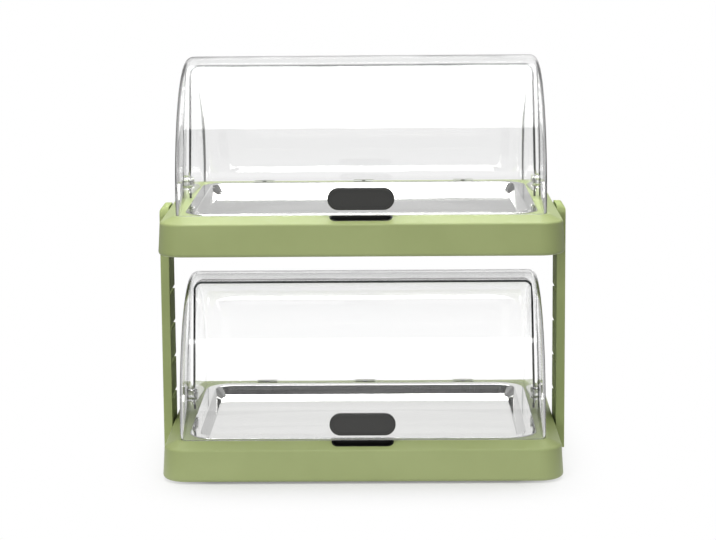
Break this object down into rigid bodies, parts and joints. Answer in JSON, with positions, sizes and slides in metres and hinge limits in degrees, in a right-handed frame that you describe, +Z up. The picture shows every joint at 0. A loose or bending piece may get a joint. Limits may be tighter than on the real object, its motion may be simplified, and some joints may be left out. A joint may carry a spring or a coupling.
{
  "type": "refrigerated countertop display case",
  "caption": "Stacked countertop cooling display: clear roll-top hoods over steel trays and ice packs, in moulded bases joined by slotted side supports.",
  "frame": {"origin": "middle of the footprint, on the surface that the feet stand on", "axes": "+X to the display's right as the customer sees it from the front, +Y to the back, +Z up"},
  "size_m": [0.46, 0.3196, 0.454],
  "materials": {
    "green_plastic": "moulded, fine satin texture",
    "clear_plastic": "clear, polished",
    "tray_steel": "pressed stainless, satin",
    "black_plastic": "moulded, soft touch",
    "pack_plastic": "blow-moulded, satin",
    "cap_plastic": "moulded",
    "screw_steel": "stainless",
    "foot_rubber": "matt"
  },
  "bodies": {
    "root": {"lower_base": "green_plastic", "lower_finger_cup": "black_plastic", "lower_bottom_cover": "black_plastic", "lower_cover_screws": "screw_steel", "lower_ice_pack_left": "pack_plastic", "lower_ice_pack_right": "pack_plastic", "lower_ice_pack_caps": "cap_plastic", "lower_rear_shell": "clear_plastic", "lower_shell_screws": "screw_steel", "lower_pivot_pins": "clear_plastic", "lower_pivot_washers": "clear_plastic", "lower_pivot_caps": "clear_plastic", "upper_base": "green_plastic", "upper_finger_cup": "black_plastic", "upper_bottom_cover": "black_plastic", "upper_cover_screws": "screw_steel", "upper_ice_pack_left": "pack_plastic", "upper_ice_pack_right": "pack_plastic", "upper_ice_pack_caps": "cap_plastic", "upper_rear_shell": "clear_plastic", "upper_shell_screws": "screw_steel", "upper_pivot_pins": "clear_plastic", "upper_pivot_washers": "clear_plastic", "upper_pivot_caps": "clear_plastic", "feet": "foot_rubber", "side_support_left": "green_plastic", "side_support_right": "green_plastic", "support_screws": "screw_steel"},
    "lower_hood": {"lower_front_hood": "clear_plastic", "lower_grip_front": "black_plastic", "lower_grip_back": "black_plastic", "lower_grip_screws": "screw_steel"},
    "lower_tray": {"lower_tray": "tray_steel"},
    "upper_hood": {"upper_front_hood": "clear_plastic", "upper_grip_front": "black_plastic", "upper_grip_back": "black_plastic", "upper_grip_screws": "screw_steel"},
    "upper_tray": {"upper_tray": "tray_steel"}
  },
  "joints": [
    {"name": "lower_hood_hinge", "type": "hinge", "parent": "root", "child": "lower_hood", "pos_m": [0, 0, 0.062], "axis": [-1, 0, 0], "range_deg": [0, 90]},
    {"name": "lower_tray_lift", "type": "slide", "parent": "root", "child": "lower_tray", "axis": [0, 0, 1], "range_m": [0, 0.03]},
    {"name": "upper_hood_hinge", "type": "hinge", "parent": "root", "child": "upper_hood", "pos_m": [0, 0, 0.31003], "axis": [-1, 0, 0], "range_deg": [0, 90]},
    {"name": "upper_tray_lift", "type": "slide", "parent": "root", "child": "upper_tray", "axis": [0, 0, 1], "range_m": [0, 0.03]}
  ]
}
